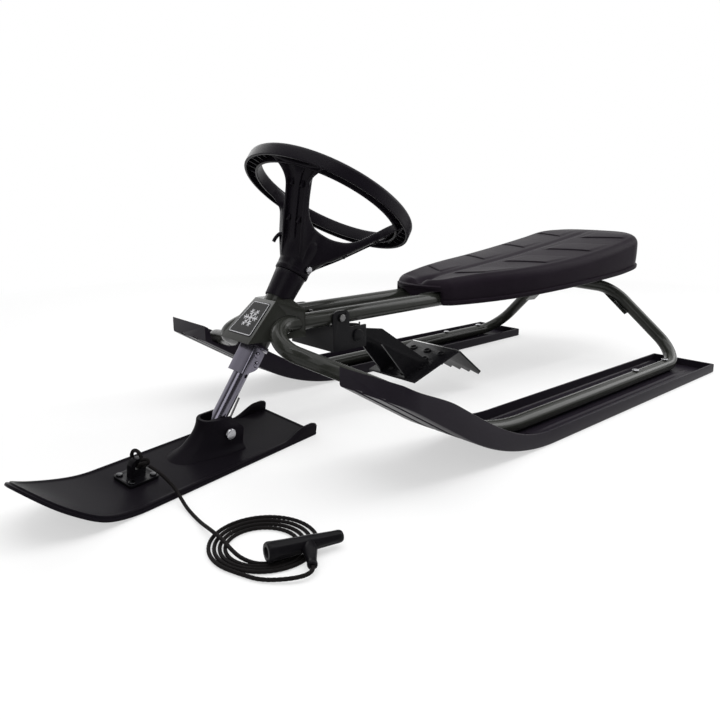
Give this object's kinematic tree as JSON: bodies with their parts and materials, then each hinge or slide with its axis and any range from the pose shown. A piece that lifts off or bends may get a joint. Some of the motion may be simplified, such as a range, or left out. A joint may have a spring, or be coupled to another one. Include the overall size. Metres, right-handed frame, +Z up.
{
  "type": "steering sled",
  "caption": "Snow sled with a padded seat on a bent tube frame, wide side runners, a wheel that steers the front ski, a sprung foot brake and a coiled tow rope.",
  "frame": {"origin": "on the floor, under the middle of the sled's length and width", "axes": "+X to the nose, +Y to the rider's left, +Z up"},
  "size_m": [1.1894, 0.5677, 0.3939],
  "materials": {
    "frame_paint": "semi-gloss graphite paint",
    "brake_paint": "semi-gloss black paint",
    "plated_steel": "bright zinc plating",
    "fastener_steel": "zinc plating",
    "spring_steel": "oiled wire",
    "black_plastic": "moulded, slightly grained",
    "wheel_plastic": "moulded, satin",
    "seat_cover": "matte vinyl",
    "label": "printed film",
    "cord": "braided"
  },
  "bodies": {
    "frame": {"frame_tube_left": "frame_paint", "frame_tube_right": "frame_paint", "tube_joint_sleeves": "fastener_steel", "runner_left": "black_plastic", "runner_right": "black_plastic", "runner_bolts": "fastener_steel", "head_box": "frame_paint", "label_plate": "label", "head_tube": "frame_paint", "lower_column_bush": "black_plastic", "upper_column_bush": "black_plastic", "brake_bracket": "brake_paint", "brake_bolts": "fastener_steel", "brake_pivot_pin": "fastener_steel", "brake_spring": "spring_steel", "seat_pad": "seat_cover", "seat_pan": "black_plastic", "seat_bolts": "fastener_steel", "seat_cross_strap": "brake_paint", "leg_strap_left": "brake_paint", "leg_strap_right": "brake_paint"},
    "steering": {"steering_wheel": "wheel_plastic", "hub_screw": "fastener_steel", "column_tube": "plated_steel", "column_sleeve": "black_plastic", "thrust_washer": "fastener_steel", "fork_bracket": "plated_steel", "fork_rivets": "plated_steel", "fork_tube": "plated_steel", "ski_spring": "spring_steel"},
    "ski_foot": {"ski": "black_plastic", "ski_pivot_bolt": "fastener_steel", "ski_pivot_nut": "fastener_steel", "rope_eyelet": "black_plastic", "eyelet_screws": "fastener_steel", "rope_knot": "cord", "tow_cord": "cord", "tow_coil": "cord", "rope_handle": "black_plastic"},
    "brake": {"brake_lever": "brake_paint"}
  },
  "joints": [
    {"name": "steering_turn", "type": "hinge", "parent": "frame", "child": "steering", "pos_m": [0.33936, 0, 0.04], "axis": [-0.5664, 0, 0.8241], "range_deg": [-44.5, 15.5]},
    {"name": "ski_pitch", "type": "hinge", "parent": "steering", "child": "ski_foot", "pos_m": [0.33936, 0, 0.04], "axis": [-0.2063, 0.9681, -0.1418], "range_deg": [-15, 15], "stiffness_Nm_per_rad": 1.5},
    {"name": "brake_press", "type": "hinge", "parent": "frame", "child": "brake", "pos_m": [0.13529, 0, 0.136], "axis": [0, -1, 0], "range_deg": [0, 9], "stiffness_Nm_per_rad": 2, "springref_deg": -57.3}
  ]
}
